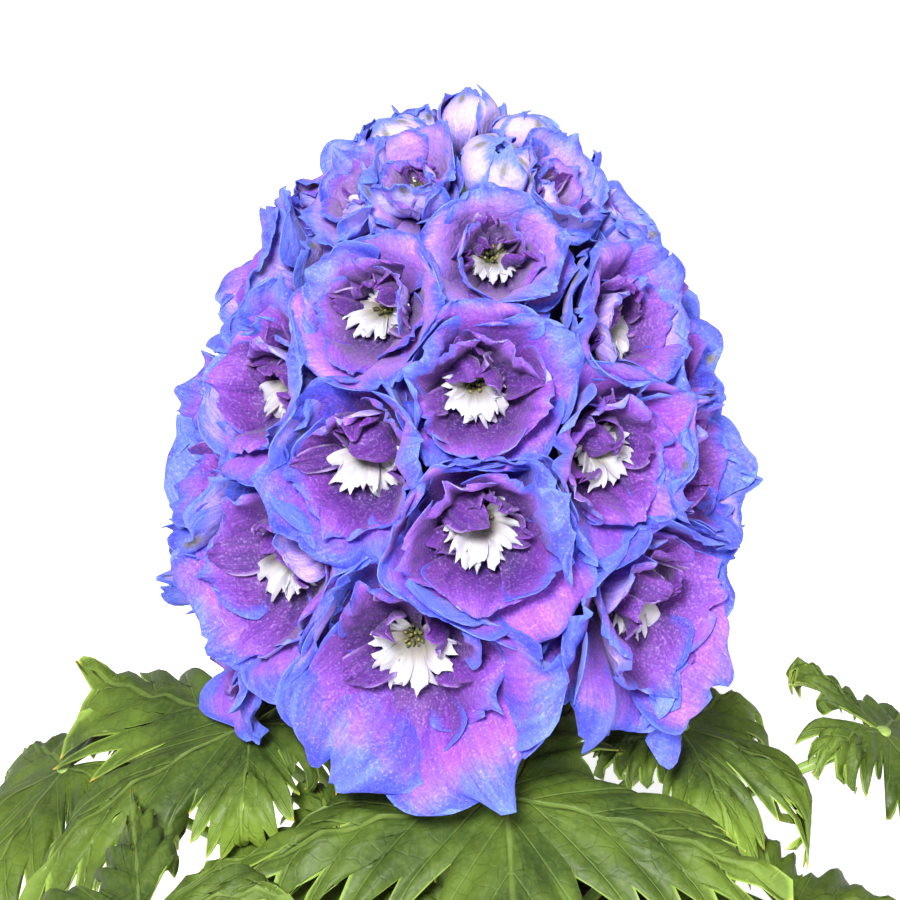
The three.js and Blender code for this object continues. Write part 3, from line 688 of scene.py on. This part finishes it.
def bent_petal(station, petal, lean, run, across, rise):
    """Points of a petal whose midrib leans by lean, in radians from the floret's axis, and which cups across.
    run, across and rise are millimetres along it, to its side and off its front."""
    steps = np.diff(run, axis=0, prepend=0)
    out = petal.hub + np.cumsum(np.sin(lean) * steps, axis=0)
    along = petal.lift + np.cumsum(np.cos(lean) * steps, axis=0)
    phi = radians(petal.angle)
    out_dir = station.rise * cos(phi) + station.side * sin(phi)
    side_dir = station.side * cos(phi) - station.rise * sin(phi)
    curve = petal.cup / petal.half_width
    rise = rise + (1 - np.cos(curve * across)) / curve
    across = np.sin(curve * across) / curve
    out = out - rise * np.cos(lean)
    along = along + rise * np.sin(lean)
    flat = station.base + out[..., None] * out_dir + across[..., None] * side_dir
    return flat + along[..., None] * station.axis


def petal_grid(rows, columns):
    """Places along (0 to 1, closer together near the end) and across (-1 to 1) a petal."""
    return np.meshgrid(1 - np.linspace(1, 0, rows) ** 1.4, np.linspace(-1, 1, columns), indexing="ij")


def ruffle(u, v, seed):
    """Waves round a petal's rim, from about -1 to 1, that die out towards its middle."""
    turn = np.arctan2(v, u - 0.3)
    nearness = np.clip(np.hypot((u - 0.3) / 0.7, v), 0, 1)
    wave = 0.0
    for k, (waves, size) in enumerate(RUFFLES):
        waves = waves * (1 + 0.15 * jitter(seed, k))
        wave = wave + size * nearness ** (1.5 + k) * np.sin(waves * turn + pi * jitter(seed, 5 + k))
    crease = 0.3 * np.sin(pi * 1.6 * v + pi * jitter(seed, 9))
    pleat = 0.6 * np.exp(-np.abs(v - 0.5 * jitter(seed, 11)) / 0.16) * jitter(seed, 12)
    fan = 0.16 * np.cos(pi * 5 * v + pi * jitter(seed, 13))
    return wave + (crease + pleat + fan) * smooth(u * 1.6)


def add_petal(piece, station, planes, ring, k):
    """One broad petal of a ring, pressed in among the neighbouring florets."""
    n = station.n
    draws = [jitter(n, ring.seed + 11 * k + i) for i in range(9)]
    angle = ring.turn + 360 / ring.count * k + 9 * draws[0]
    over_throat = max(0.0, cos(radians(angle))) if ring is INNER else 0.0
    length = station.length * ring.length * (1 + 0.11 * draws[1]) * (1 - 0.14 * over_throat)
    half_width = ring.width * length
    petal = Values(
        angle=angle, hub=HUB, lift=ring.lift, half_width=half_width, cup=ring.cup * (1 + 0.5 * draws[3]),
    )
    u, v = petal_grid(ring.rows, ring.columns)
    wave = ruffle(u, v, n * 31 + ring.seed + k * 7)
    opened = ring.follow * (station.opening - USUAL_OPENING) + 12 * draws[2] - UPPER_LIP * over_throat
    if ring is OUTER and k == n % ring.count:
        opened = opened - STANDING
    lean = profile(ring.leans, u) + opened * smooth(u * 1.3) + 22 * draws[8] * smooth((u - 0.6) / 0.4)
    nick = u**4 * (0.03 * np.sin(7 * v + 6 * draws[4]) + 0.02 * np.sin(17 * v + 9 * draws[5]))
    point = 0.08 * u**8 * np.exp(-((v - 0.2 * draws[6]) / 0.2) ** 2)
    run = length * u * (1 - 0.15 * v**2 * u**4 + nick + point)
    across = half_width * broad(u) * v * (1 + 0.05 * np.sin(7 * u + 5 * draws[6]))
    shingle = 0.9 * v
    roll = (1.6 * draws[7] - 0.5) * np.abs(v) ** 4 * u
    twist = 0.2 * draws[5] * across * u
    youth = smooth((station.height - YOUTH.start) / YOUTH.span)
    ruffled = ring.ruffle * (1 - 0.4 * youth) * station.length / RUFFLED_LENGTH * wave
    off = ruffled + shingle + roll + twist
    middle = bent_petal(station, petal, np.radians(lean), run, across, off)
    margin = ring.margin + 0.3 * (1 - v) + 0.3 * ring.ruffle * wave - 1.2 * u**5
    middle = press_into_cell(middle, planes, station, margin)
    thickness = PETAL_THICKNESS * (1 - 0.5 * np.maximum(u**6, v**6))
    vary = (0.5 * draws[3] + ring.blueness, ring.kind, youth)
    piece.add_blade(middle, thickness, np.dstack([u, v]), vary, PETAL, -1)


def add_petaloid(piece, station, k):
    """A small hooded petal that rises behind the bee and curls over it from above or beside it."""
    draws = [jitter(station.n, 400 + 9 * k + i) for i in range(8)]
    grow = station.length / THROAT.floret
    size = THROAT.length * grow * (1 + 0.3 * draws[0])
    half_width = THROAT.width * grow * (1 + 0.28 * draws[6])
    spread = (k / (THROAT.petaloids - 1) - 0.5) * THROAT.fan
    petal = Values(
        angle=spread + 18 * draws[1], hub=THROAT.ring * grow * (1 + 0.2 * draws[3]), lift=1.5,
        half_width=half_width, cup=0.9 + 0.35 * draws[5],
    )
    u, v = petal_grid(11, 9)
    base, tip = 36 + 12 * draws[2], (-52 if k % 2 else 0) + 30 * draws[4] + 0.25 * abs(spread)
    lean = base + (tip - base) * smooth(u * 1.1) + (24 * draws[5] + 18 * draws[7]) * v * u
    wave = ruffle(u, v, station.n * 17 + k)
    across = half_width * broad(u, 0.4, 0.6, 0.45) * v
    run = size * u * (1 - 0.12 * v**2 * u**2)
    off = 1.9 * wave - 1.2 * np.abs(v) ** 3 * u
    middle = bent_petal(station, petal, np.radians(lean), run, across, off)
    plan = np.dstack([0.3 + 0.36 * u, 0.72 * v])
    piece.add_blade(middle, THROAT.petaloid_thickness, plan, (INNER.blueness, 1.0, 0.0), PETAL, -1)


def add_bee_petal(piece, station, angle, share):
    """A white bee petal: a narrow claw and a cleft limb with a ragged end."""
    n, draw = station.n, 500 + angle
    share = share * station.length / THROAT.floret * (1 + 0.14 * jitter(n, 600 + angle))
    size, width = THROAT.bee * share, THROAT.bee_width * share
    petal = Values(angle=angle + 8 * jitter(n, draw), hub=1.3, lift=2.4, half_width=width, cup=0.4)
    u, v = petal_grid(9, 13)
    lean = 14 + (84 + 32 * jitter(n, draw + 1)) * u
    ragged = 0.09 * np.sin(8 * v + 3 * jitter(n, draw + 2)) + 0.05 * np.sin(17 * v + 3 * jitter(n, draw + 3))
    cleft = 0.26 * np.exp(-((v - 0.3 * jitter(n, draw + 4)) / 0.16) ** 2)
    run = size * u * (1 - u**4 * (0.16 + ragged + cleft + 0.08 * v**2))
    across = width * broad(u, 0.3, 0.72, 0.9) * v
    middle = bent_petal(station, petal, np.radians(lean), run, across, 0.8 * ruffle(u, v, n * 13 + draw))
    piece.add_blade(middle, THROAT.bee_thickness, np.dstack([u, v]), PLAIN, BEE, -1)


def add_receptacle(piece, station, table):
    places, radii = zip(*table)
    piece.add_tube(np.array([station.base + station.axis * d for d in places]), radii, 10, GREEN)


def add_throat(piece, station):
    """Stamens, the white bee and the petaloids round it."""
    axis, rise, side = station.axis, station.rise, station.side
    throat = Values(**dict(vars(station), base=station.base + rise * BEE_RISE))
    for k in range(THROAT.anthers):
        turn = GOLDEN_ANGLE * k * pi / 180
        out = rise * cos(turn) + side * sin(turn)
        reach = 0.75 * sqrt(k + 0.5)
        tip = throat.base + axis * (4.6 + 1.2 * jitter(station.n, 300 + k)) + out * reach
        lean = unit(axis + 0.5 * out)
        piece.add_blob(tip, [0.55 * rise, 0.55 * side, 1.0 * lean], material=ANTHER)
    for angle, share in BEE_PETALS:
        add_bee_petal(piece, throat, angle, share)
    for k in range(THROAT.petaloids):
        add_petaloid(piece, throat, k)


def make_floret(station, stations, looks):
    piece = Piece()
    planes = cell_planes(station, stations)
    bud = station.n >= FIRST_BUD
    for ring in [BUD_RING] if bud else [BACK, OUTER, INNER]:
        for k in range(ring.count):
            add_petal(piece, station, planes, ring, k)
    add_receptacle(piece, station, BUD_RECEPTACLE if bud else RECEPTACLE)
    if not bud:
        add_throat(piece, station)
    node = f"{'bud' if bud else 'floret'}_{station.n + 1:02d}"
    materials = [looks.petal, looks.bee, looks.anther, looks.stalk]
    piece.finish(f"{node}_petals", "bud" if bud else "petal", materials, node)


# ---------- Stem ----------
def make_stem(stations, looks):
    """The ribbed stem, and a pedicel with its bracteoles up to each floret and bud."""
    low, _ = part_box("flower_stem")
    root_z = low.z / MM
    piece = Piece()
    heights = np.linspace(root_z, STEM.tip, STEM.rows)
    radii = np.interp(heights, [root_z, STEM.tip], STEM.radii)
    shaft = np.stack([0.4 * np.sin(heights / 17), 0.4 * np.cos(heights / 23), heights], -1)
    piece.add_tube(shaft, radii, STEM.sides, ridges=STEM.ribs)
    for station in stations:
        end = station.base - station.axis * (RECEPTACLE_DEPTH - 0.3)
        start_z = min(end[2] - PEDICEL.fall * hypot(end[0], end[1]), STEM.tip - 3)
        start = np.array([0, 0, start_z])
        t = np.linspace(0, 1, PEDICEL.rows)[:, None]
        path = start + (end - start) * t - PEDICEL.sag * np.sin(pi * t) * UP
        piece.add_tube(path, np.linspace(*PEDICEL.radii, PEDICEL.rows), PEDICEL.sides)
        add_bracts(piece, station, start, end)
    piece.finish("flower_stem_green", "stem", [looks.stalk], "flower_stem")


def add_bracts(piece, station, start, end):
    """Two narrow bracteoles that clasp the pedicel under the floret."""
    along = unit(end - start)
    for hand in (-1, 1):
        side = unit(np.cross(along, UP)) * hand
        u, v = petal_grid(7, 4)
        reach = BRACT.length + 1.5 * jitter(station.n, 700 + hand)
        width = BRACT.width * np.sin(pi * np.clip(u, 0.04, 0.97)) ** 0.7
        path = end - along * BRACT.below + (along * 0.8 + side * 0.45) * (reach * u)[..., None] + side * 1.2
        middle = path + (width * v)[..., None] * np.cross(along, side) + side * (1.5 * u**2)[..., None]
        piece.add_blade(middle, BRACT.thickness, np.dstack([u, v]))


# ---------- Leaves ----------
def curl_down(run, length, curl, start_share):
    """How far along and how far down a line of a length is at a run, its end past start_share curled down."""
    start = start_share * length
    beyond = np.maximum(run - start, 0)
    along, down = np.minimum(run, start), np.zeros_like(run)
    steps = 10
    for i in range(steps):
        t = (i + 0.5) / steps * beyond / (length - start)
        angle = radians(curl) * t**1.5
        along = along + np.cos(angle) * beyond / steps
        down = down + np.sin(angle) * beyond / steps
    return along, down


def lobe_outline(half_left, half_right, seed):
    """Columns across one lobe, from one web to the other, as (angle off the midrib, radius in lobe lengths,
    tooth tip, curl). Between the web and the first tooth the radius is (share of the way, tooth's radius)."""
    def side(hand, half):
        marks = [(half, None, 0.0, RIM_CURL)]
        for i, (along, across) in enumerate(LOBE_EDGE):
            tooth = 1.0 if i % 2 == 0 else 0.0
            swell = 1 + (0.08 * jitter(seed, 10 * hand + i) if 0 < i < 8 else 0)
            curl = RIM_CURL + tooth * (TOOTH_CURL[0] + TOOTH_CURL[1] * jitter(seed, 30 + 10 * hand + i))
            angle, radius = degrees(atan2(across, along)), hypot(along, across)
            marks.append((angle, radius * swell, tooth, curl))
        columns = []
        for (a0, r0, t0, c0), (a1, r1, t1, c1) in zip(marks, marks[1:]):
            for k in range(LEAF.steps):
                t = k / LEAF.steps
                angle, curl = hand * (a0 + (a1 - a0) * t), c0 + (c1 - c0) * t
                if r0 is None:
                    columns.append((angle, (t, r1), 0.0, curl))
                    continue
                eased = 1 - (1 - t) ** 1.4 if t1 > t0 else t**1.4
                columns.append((angle, r0 + (r1 - r0) * eased, t0 if k == 0 else 0.0, curl))
        return columns

    left, right = side(-1, half_left), side(1, half_right)
    return left + [(0.0, 1.0, 1.0, TIP_CURL[0] + TIP_CURL[1] * jitter(seed, 90))] + right[::-1]


def leaf_columns(leaf, sizes):
    """All columns across a leaf as (lobe, angle off its midrib, edge radius in mm, tooth tip, curl)."""
    columns = []
    last = len(LOBES) - 1
    for i, heading in enumerate(LOBES):
        left = leaf.spread * (heading - LOBES[i - 1]) / 2 if i else LEAF.outer_half
        right = leaf.spread * (LOBES[i + 1] - heading) / 2 if i < last else LEAF.outer_half
        webs = (LEAF.web * sizes[i - 1 if i else i], LEAF.web * sizes[i])
        for angle, radius, tip, curl in lobe_outline(left, right, 60 * leaf.number + i):
            if isinstance(radius, tuple):
                share, first_tooth = radius
                web = webs[0] if angle < 0 else webs[1]
                edge = web + (first_tooth * sizes[i] - web) * share**1.3
            else:
                edge = radius * sizes[i]
            columns.append((i, angle, edge, tip, curl))
    return columns


def leaf_surface(leaf):
    """The leaf's middle surface as a grid of points, with its plan and vary numbers."""
    sizes = [leaf.length * size for size in leaf.shares]
    share = np.linspace(0.03, 1, LEAF.rows) ** 0.9
    points, plan, vary = [], [], []
    for lobe, angle, edge, tip, curl in leaf_columns(leaf, sizes):
        size = sizes[lobe]
        local = radians(angle)
        reach, hooked = curl_down(share * edge, edge, curl * leaf.hooks[lobe], LEAF.hook_start)
        run, across = reach * cos(local), reach * sin(local)
        along, down = curl_down(run, size, leaf.curls[lobe], LEAF.curl_start)
        heading = radians(leaf.azimuth + leaf.turn + LOBES[lobe] * leaf.spread)
        flat = leaf.out * leaf.radius + along[:, None] * outward(heading)
        flat = flat + across[:, None] * outward(heading + pi / 2)
        reach = share * edge * cos(local) / size
        aside = share * edge * sin(local) / size
        from_vein = (reach - VEIN_SLANT * np.abs(aside)) / VEIN_SPACING
        quilt = 1.1 * np.cos(2 * pi * from_vein) * smooth(reach * 2)
        sway = 1.6 * reach * np.sin(5 * reach + 2.5 * jitter(leaf.number, 40 + lobe))
        sway = sway + 0.7 * share**3 * sin(angle / 5 + leaf.number)
        arch = LEAF.arch * (np.sqrt(across**2 + 4) - 2)
        z = HEAD_BASE + leaf.height - dome_fall(np.hypot(flat[:, 0], flat[:, 1])) - down - arch
        points.append(flat + UP * (z + quilt - hooked + sway)[:, None])
        plan.append(np.stack([reach, aside], -1))
        curled = min(1.0, max(0, leaf.curls[lobe]) / 90)
        yellow = 0.1 + 0.5 * curled + 0.15 * jitter(leaf.number, 50 + lobe)
        vary.append(np.stack([share, tip * share**12, np.full_like(share, yellow)], -1))
    return [np.swapaxes(np.array(x), 0, 1) for x in (points, plan, vary)]


def bezier(points, count):
    t = np.linspace(0, 1, count)[:, None]
    points = [np.asarray(p, float) for p in points]
    while len(points) > 1:
        points = [a * (1 - t) + b * t for a, b in zip(points, points[1:])]
    return points[0]


def petiole_path(leaf, basal):
    """From the potting mix, or from the stem for a stem leaf, to just past the blade's joint."""
    out, end = leaf.out, leaf.joint + leaf.out * 1.5
    if basal:
        start = out * PETIOLE.soil_ring + UP * (SOIL_TOP - PETIOLE.soil_depth)
        climb = UP * (end[2] - start[2])
        high = start + climb * 0.75 + out * leaf.radius * 0.35
        return bezier([start, start + climb * 0.5 + out * 2, high, end], 26)
    start = out * 5 + UP * (leaf.joint[2] - PETIOLE.stem_drop)
    return bezier([start, start + unit(out + 0.5 * UP) * leaf.radius * 0.45, end], 22)


def make_leaf(leaf, number, looks):
    basal = number >= len(STEM_LEAVES)
    name = f"basal_leaf_{number - len(STEM_LEAVES) + 1}" if basal else f"stem_leaf_{number + 1}"
    leaf.number, leaf.out = number, outward(radians(leaf.azimuth))
    leaf.joint = leaf.out * leaf.radius + UP * (HEAD_BASE + leaf.height - dome_fall(leaf.radius))
    piece = Piece()
    points, plan, vary = leaf_surface(leaf)
    piece.add_blade(points, LEAF.thickness * (1 - 0.45 * vary[..., 0] ** 8), plan, vary, BLADE)
    path = petiole_path(leaf, basal)
    radii = np.interp(np.linspace(0, 1, len(path)), [0, 0.85, 1], PETIOLE.radii)
    piece.add_tube(path - UP * 0.8, radii, PETIOLE.sides, STALK)
    knob = [2.6 * leaf.out, 2.6 * np.cross(UP, leaf.out), 1.3 * UP]
    piece.add_blob(leaf.joint, knob, material=STALK, rings=6, sides=10)
    piece.finish(f"{name}_blade", "leaf", [looks.leaf, looks.stalk], name)


# ---------- Pot and potting mix ----------
def add_turned(piece, pairs, rough=None):
    """A closed solid of revolution from (radius, height) pairs that start and end on the axis."""
    sides = POT.sides
    inner = np.array(pairs[1:-1], float)
    turn = np.linspace(0, 2 * pi, sides, endpoint=False)
    radius = inner[:, :1]
    points = np.stack([radius * np.cos(turn), radius * np.sin(turn), inner[:, 1:] * np.ones(sides)], -1)
    if rough is not None:
        points = rough(points)
    at, after, quads = ring_quads(len(inner), sides)
    poles = np.array([[0, 0, pairs[0][1]], [0, 0, pairs[-1][1]]], float)
    first, last = at.size, at.size + 1
    bottom = np.stack([np.full(sides, first), after[0], at[0]], -1)
    top = np.stack([np.full(sides, last), at[-1], after[-1]], -1)
    flat = np.concatenate([points.reshape(-1, 3), poles])
    piece.add(flat, [quads, bottom, top], flat, PLAIN)


def pot_sizes():
    """The pot's height and its wall's outer radius at the top and at the base, from its solid."""
    _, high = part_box("pot")
    top = high.x / MM - POT.rim_out
    return Values(height=high.z / MM, top=top, base=top - POT.taper)


def pot_radius(pot, z):
    return pot.base + (pot.top - pot.base) * z / pot.height


def make_pot(looks):
    """A tapered shell with a foot, a rolled rim and drain holes."""
    pot = pot_sizes()
    top, rim_z, out, wall = pot.height, pot.height - POT.rim, POT.rim_out, POT.wall
    # Up the outside, over the rim and down the inside: (height, steps outwards and upwards off the wall)
    steps = [(0, -1.2, 0), (0, -0.3, 0.4), (1.5, 0, 0)]
    steps += [(z, 0, 0) for z in np.linspace(6, rim_z - 2.5, 12)]
    steps += [(rim_z, 0, -0.6), (rim_z, 0.6, 0), (rim_z, out - 0.7, 0), (rim_z, out, 0.7)]
    steps += [(rim_z + 3, out, 0), (top - 1.5, out, 0), (top, out - 0.5, -0.4), (top, out - 1.4, 0)]
    steps += [(top, 1.0 - wall, 0), (top, -wall, -1.0)]
    steps += [(z, -wall, 0) for z in np.linspace(top - 6, wall + 1.5, 10)]
    steps += [(wall, -wall - 1.5, 0)]
    outline = [(pot_radius(pot, z) + aside, z + up) for z, aside, up in steps]
    piece = Piece()
    add_turned(piece, [(0, 0), (POT.foot, 0), *outline, (POT.foot, wall), (0, wall)])
    drill_drains(piece.finish("pot_shell", "pot", [looks.plastic], "pot"))


def drill_drains(pot_piece):
    """Four drain holes through the floor, as in the solid."""
    for i in range(DRAIN.count):
        centre = outward(2 * pi * (i + 0.5) / DRAIN.count) * DRAIN.ring * MM
        bpy.ops.mesh.primitive_cylinder_add(
            vertices=DRAIN.sides, radius=DRAIN.radius * MM, depth=DRAIN.depth * MM, location=centre,
        )
        drill = bpy.context.object
        cut = pot_piece.modifiers.new("drain", "BOOLEAN")
        cut.operation = "DIFFERENCE"
        cut.object = drill
        bpy.context.view_layer.objects.active = pot_piece
        bpy.ops.object.modifier_apply(modifier=cut.name)
        bpy.data.objects.remove(drill)


def make_mix(looks):
    """Potting mix: a crumbly domed surface with loose crumbs and a little perlite."""
    low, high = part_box("potting_mix")
    pot = pot_sizes()
    floor, edge = low.z / MM, high.x / MM

    def top_at(reach):
        return SOIL_TOP + SOIL_DOME * (1 - (reach / edge) ** 2)

    def rough(points):
        x, y, z = points[..., 0], points[..., 1], points[..., 2]
        lumps = np.sin(x * 1.1 + 3 * np.sin(y * 0.7)) + np.sin(y * 1.3 + x * 0.4)
        points[..., 2] += smooth((z - SOIL_TOP + 1.5) / 1.5) * 0.55 * lumps
        return points

    sides = np.linspace(floor, SOIL_TOP - 0.6, 6)
    sides = [(pot_radius(pot, z) - POT.wall - SOIL_GAP, z) for z in sides]
    surface = [(reach, top_at(reach)) for reach in np.linspace(edge - 0.8, 3, 26)]
    piece = Piece()
    add_turned(piece, [(0, floor), (30, floor), *sides, *surface, (0, SOIL_TOP + SOIL_DOME)], rough)
    for k in range(CRUMBS.count):
        reach = (edge - 3) * sqrt((k + 0.5) / CRUMBS.count)
        out = outward(radians(GOLDEN_ANGLE * k + 9 * jitter(k, 1)))
        size = CRUMBS.size + CRUMBS.vary * jitter(k, 2)
        centre = out * reach + UP * (top_at(reach) + 0.3 * size)
        white = 1.0 if k % CRUMBS.perlite_step == 0 else 0.0
        axes = [size * out, 0.7 * size * np.cross(UP, out), 0.6 * size * UP]
        piece.add_blob(centre, axes, (0.0, 0.0, white), 0, CRUMBS.rough, k)
    piece.finish("potting_mix_crumb", "potting_mix", [looks.mix], "potting_mix")


# ---------- Stage ----------
def set_stage():
    """A plain white floor, a white surround and two large soft lights."""
    bpy.ops.mesh.primitive_plane_add(size=FLOOR.size, location=(0, 0, 0))
    floor = bpy.context.object
    floor.name = "floor"
    look = Look("floor_white", roughness=0.9, emission_strength=FLOOR.glow)
    look.shader.inputs["Base Color"].default_value = (FLOOR.grey, FLOOR.grey, FLOOR.grey, 1)
    look.shader.inputs["Emission Color"].default_value = (1, 1, 1, 1)
    floor.data.materials.append(look.material)
    world = bpy.data.worlds.new("white")
    bpy.context.scene.world = world
    world.use_nodes = True
    surround = world.node_tree.nodes["Background"]
    surround.inputs["Color"].default_value = (1, 1, 1, 1)
    surround.inputs["Strength"].default_value = SURROUND_STRENGTH
    for light in LIGHTS:
        add_light(*light)


def place_aimed(name, data, location, aim):
    """Puts a light or a camera at a location and aims it at a point."""
    placed = bpy.data.objects.new(name, data)
    bpy.context.scene.collection.objects.link(placed)
    placed.location = location
    placed.rotation_euler = (aim - Vector(location)).to_track_quat("-Z", "Y").to_euler()
    return placed


def add_light(name, location, size, power):
    data = bpy.data.lights.new(name, "AREA")
    data.size = size
    data.energy = power
    place_aimed(name, data, location, Vector(LIGHTS_AIM))


def set_camera():
    elevation = radians(CAMERA.elevation)
    target = Vector(CAMERA.target) * MM
    offset = Vector((0, -cos(elevation), sin(elevation))) * CAMERA.distance * MM
    data = bpy.data.cameras.new("camera")
    data.lens = CAMERA.lens
    data.sensor_width = CAMERA.sensor
    data.sensor_fit = "HORIZONTAL"
    data.clip_start = 0.01
    bpy.context.scene.camera = place_aimed("camera", data, target + offset, target)


def main():
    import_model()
    set_camera()
    set_stage()
    bpy.context.scene.view_settings.view_transform = "Standard"
    looks = Values(
        petal=petal_look(), bee=bee_look(), anther=anther_look(), leaf=leaf_look(),
        stalk=stalk_look(), plastic=plastic_look(), mix=mix_look(),
    )
    stations = [make_station(n) for n in range(FLORETS)]
    for station in stations:
        make_floret(station, stations, looks)
    make_stem(stations, looks)
    for number, leaf_values in enumerate(STEM_LEAVES + BASAL_LEAVES):
        make_leaf(leaf_values, number, looks)
    make_pot(looks)
    make_mix(looks)


main()
